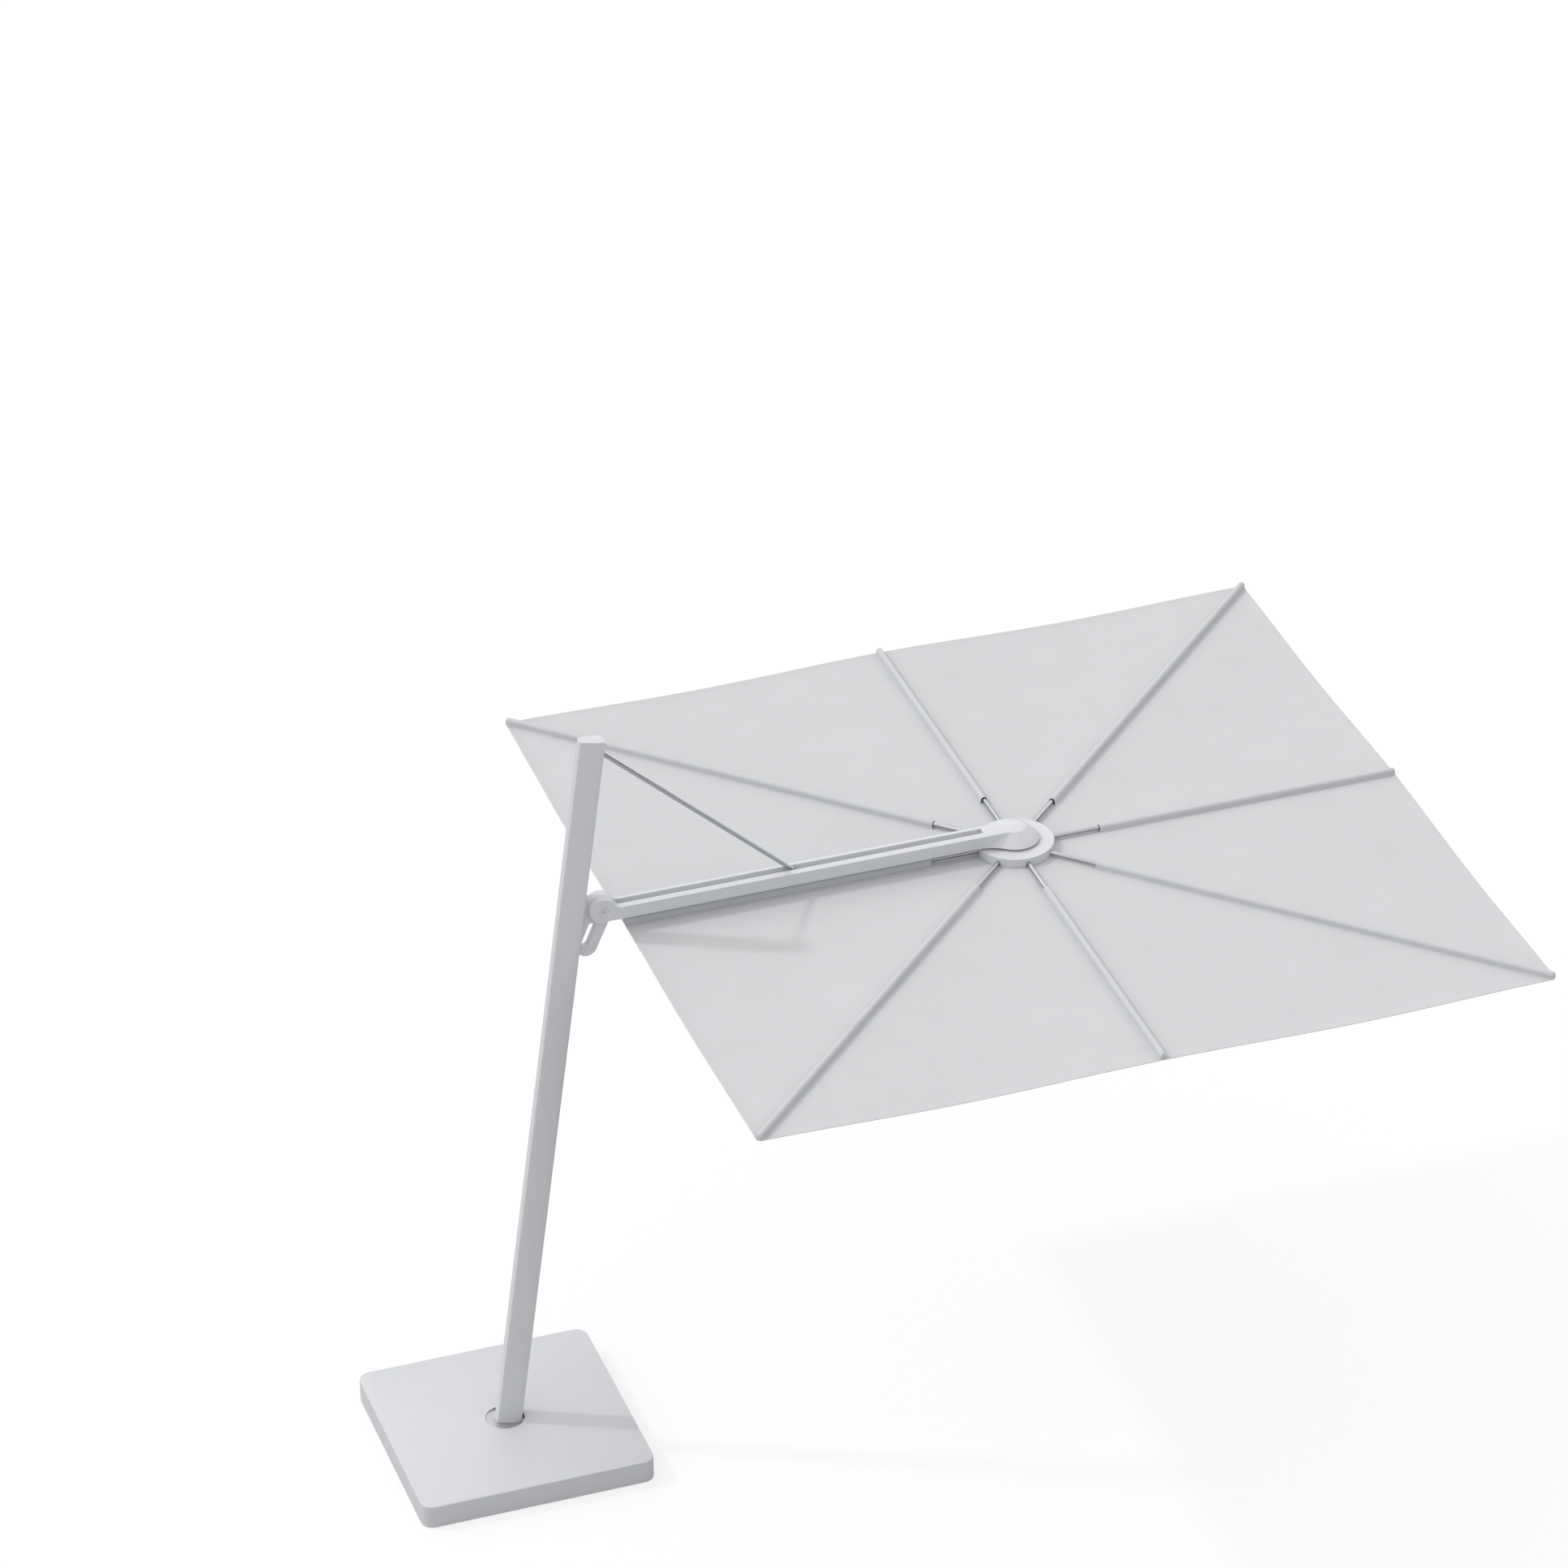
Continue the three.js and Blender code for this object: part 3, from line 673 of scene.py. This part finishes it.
def rib_strip(index):
    """The strip of the canopy right under a rib."""
    tip = rib_tip(index) - (STRIP_HALF if index % 2 else STRIP_INSET)
    across = [STRIP_HALF * (2 * u / STRIP_STEPS - 1) for u in range(STRIP_STEPS + 1)]
    rows, seam = [], []
    for v in range(STRIP_ROWS + 1):
        x = RING_RADIUS + (tip - RING_RADIUS) * v / STRIP_ROWS
        rows.append([on_cloth(index, 1, Vector((x, w))) for w in across])
        seam.append([(w, tip - x) for w in across])
    mesh = sheet_mesh(f"strip_{index + 1}", rows, seam, [CLOTH_HALF] * (STRIP_ROWS + 1))
    piece = cloth_piece(mesh)
    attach(piece, f"rib_{index + 1}")


def centre_patch():
    """The round of cloth held between the hub and its clamp plate."""
    radius = PATCH_RADIUS + PATCH_OVERLAP
    shape = bmesh.new()
    bmesh.ops.create_cone(
        shape, cap_ends=True, segments=PATCH_STEPS, radius1=radius, radius2=radius, depth=2 * CLOTH_HALF,
        matrix=Matrix.Translation(HUB + Vector((0, 0, CLOTH_Z))),
    )
    mesh = cloth_mesh("cloth_centre", shape, lambda vert: NO_SEAM)
    piece = cloth_piece(mesh)
    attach(piece, "arm")
    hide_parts("canopy_centre_patch")


# ---------- sleeves over the ribs ----------
def sleeve_section():
    """The sleeve's outer line over the rib, from foot to foot, as distance across and height."""
    arch = []
    for i in range(SLEEVE_ARCH_STEPS + 1):
        turn = math.pi * (i / SLEEVE_ARCH_STEPS)
        arch.append((SLEEVE_RADIUS * math.cos(turn), SLEEVE_RADIUS * math.sin(turn)))
    foot = []
    for i in range(SLEEVE_FOOT_STEPS, 0, -1):
        drop = i / SLEEVE_FOOT_STEPS
        foot.append((SLEEVE_RADIUS + SLEEVE_FLARE * drop ** 3, (CLOTH_Z + CLOTH_HALF) * drop))
    return foot + arch + [(-w, z) for w, z in reversed(foot)]


def sleeve_stations(index, inset):
    """The rings of a sleeve's skin: distance along the rib, share of the full size, and ripple."""
    straight = rib_tip(index) - SLEEVE_END - (CORNER_TRIM if index % 2 else 0.0)
    stations = []
    for i in range(SLEEVE_ROWS + 1):
        x = SLEEVE_START + (straight - SLEEVE_START) * i / SLEEVE_ROWS
        long_wave = math.sin(x * RIPPLE_TURNS[1] + 2 * index)
        stations.append((x, 1.0, RIPPLE * math.sin(x * RIPPLE_TURNS[0] + index) * long_wave))
    for degrees in SLEEVE_TIP_TURNS:
        turn = math.radians(degrees)
        x = straight + (SLEEVE_END - inset) * math.sin(turn)
        stations.append((x, math.cos(turn) ** SLEEVE_TIP_BLUNTNESS, 0.0))
    return stations


def sleeve_skin(shape, index, inset):
    """The rings of a sleeve's outer skin, or of its inner skin, which is inset by the cloth's thickness."""
    foot = CLOTH_Z + CLOTH_HALF
    rings = []
    for x, size, ripple in sleeve_stations(index, inset):
        ring = []
        for w, z in sleeve_section():
            length = math.hypot(w, z)
            scale = (length - inset) / length
            foot_scale = (length - inset * FOOT_INSET_SHARE) / length
            height = z * (scale + ripple) if z > 0 else z * foot_scale
            place = in_canopy(index, 1, x, w * scale * size, foot + (height - foot) * size)
            ring.append(shape.verts.new(place))
        rings.append(ring)
    return rings


def sleeve_mesh(index):
    """The arch of cloth over a rib, open at its inner end, closed and rounded at the rib's tip."""
    shape = bmesh.new()
    outer = sleeve_skin(shape, index, 0.0)
    inner = sleeve_skin(shape, index, SLEEVE_WALL)
    last = len(outer[0]) - 1
    for i in range(len(outer) - 1):
        for j in range(last):
            shape.faces.new([outer[i][j], outer[i][j + 1], outer[i + 1][j + 1], outer[i + 1][j]])
            shape.faces.new([inner[i][j], inner[i + 1][j], inner[i + 1][j + 1], inner[i][j + 1]])
        shape.faces.new([outer[i][0], outer[i + 1][0], inner[i + 1][0], inner[i][0]])
        shape.faces.new([outer[i][last], inner[i][last], inner[i + 1][last], outer[i + 1][last]])
    for j in range(last):
        shape.faces.new([outer[0][j], inner[0][j], inner[0][j + 1], outer[0][j + 1]])
        shape.faces.new([outer[-1][j], outer[-1][j + 1], inner[-1][j + 1], inner[-1][j]])

    rib_way = in_canopy(index, 1, 1, 0, 0) - HUB

    def seam_at(vert):
        """The stitches run along the sleeve's feet, a little above the cloth."""
        local = vert.co - HUB
        return local.dot(rib_way), STITCH_INSET + local.z - CLOTH_Z - SLEEVE_STITCH_RISE

    return cloth_mesh(f"sleeve_{index + 1}", shape, seam_at)


def rib_sleeve(index):
    piece = cloth_piece(sleeve_mesh(index))
    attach(piece, f"rib_{index + 1}")
    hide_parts(f"canopy_sleeve_{index + 1}")


def add_canopy():
    centre_patch()
    for index in range(RIBS):
        ring_sector(index)
        rib_strip(index)
        rib_sleeve(index)
        cloth_panel(index, -1)
        cloth_panel(index, 1)


# ---------- floor, light and camera ----------
def add_camera():
    camera = bpy.data.objects.new("camera", bpy.data.cameras.new("camera"))
    camera.data.lens = CAMERA_LENS
    camera.data.sensor_width = CAMERA_FILM
    camera.data.clip_end = CAMERA_REACH
    level = CAMERA_AIM.to_track_quat("-Z", "Y")
    camera.rotation_mode = "QUATERNION"
    camera.rotation_quaternion = level @ Quaternion((0, 0, 1), CAMERA_ROLL)
    camera.location = CAMERA_AT
    bpy.context.scene.collection.objects.link(camera)
    bpy.context.scene.camera = camera


def floor_material():
    """A pale floor that looks white but throws only a little light up at the sides of the object."""
    material, tree, shader = new_material("floor_pale")
    mottle = noise(tree, position(tree), scale=0.6)
    feed(tree, shader.inputs["Base Color"], tones(tree, mottle, FLOOR_COLOUR, (0.98, 1.0)))
    shader.inputs["Roughness"].default_value = FLOOR_ROUGHNESS
    glow = node(tree, "ShaderNodeEmission", {"Strength": FLOOR_GLOW}).outputs["Emission"]
    seen = node(tree, "ShaderNodeLightPath").outputs["Is Camera Ray"]
    share = math_node(tree, "MULTIPLY", seen, FLOOR_GLOW_SHARE)
    mix = node(tree, "ShaderNodeMixShader", {0: share, 1: shader.outputs["BSDF"], 2: glow})
    feed(tree, tree.nodes["Material Output"].inputs["Surface"], mix.outputs["Shader"])
    return material


def add_floor():
    mesh = bpy.data.meshes.new("floor")
    shape = bmesh.new()
    bmesh.ops.create_grid(shape, x_segments=1, y_segments=1, size=FLOOR_HALF_SIZE)
    shape.to_mesh(mesh)
    shape.free()
    floor = bpy.data.objects.new("floor", mesh)
    mesh.materials.append(floor_material())
    bpy.context.scene.collection.objects.link(floor)


def add_sky():
    """A studio sky: a bright ceiling and dimmer walls, in front of which the backdrop looks white."""
    world = bpy.data.worlds.new("studio")
    world.use_nodes = True
    tree = world.node_tree
    direction = node(tree, "ShaderNodeTexCoord").outputs["Generated"]
    ceiling = shades(tree, split(tree, direction)["Z"], SKY_TONES)
    facing = node(tree, "ShaderNodeVectorMath", {0: direction, 1: DARK_WALL}, operation="DOT_PRODUCT")
    wall = spread(tree, facing.outputs["Value"], *WALL_SPAN, *WALL_SHARES)
    room = node(tree, "ShaderNodeMix", {"Factor": 1.0}, data_type="RGBA", blend_type="MULTIPLY")
    feed(tree, room.inputs["A"], ceiling)
    feed(tree, room.inputs["B"], wall)
    seen = node(tree, "ShaderNodeLightPath").outputs["Is Camera Ray"]
    backdrop = node(tree, "ShaderNodeMix", {"Factor": seen}, data_type="RGBA")
    feed(tree, backdrop.inputs["A"], room.outputs["Result"])
    feed(tree, backdrop.inputs["B"], BACKDROP)
    background = tree.nodes["Background"]
    feed(tree, background.inputs["Color"], backdrop.outputs["Result"])
    background.inputs["Strength"].default_value = SKY_STRENGTH
    bpy.context.scene.world = world


def add_key():
    key = bpy.data.objects.new("key", bpy.data.lights.new("key", "SUN"))
    key.data.energy = KEY_STRENGTH
    key.data.angle = KEY_SIZE
    key.rotation_mode = "QUATERNION"
    key.rotation_quaternion = KEY_DIRECTION.to_track_quat("-Z", "Y")
    bpy.context.scene.collection.objects.link(key)


def add_stage():
    add_camera()
    add_floor()
    add_sky()
    add_key()
    bpy.context.scene.view_settings.view_transform = "Standard"


add_frame()
add_canopy()
add_stage()
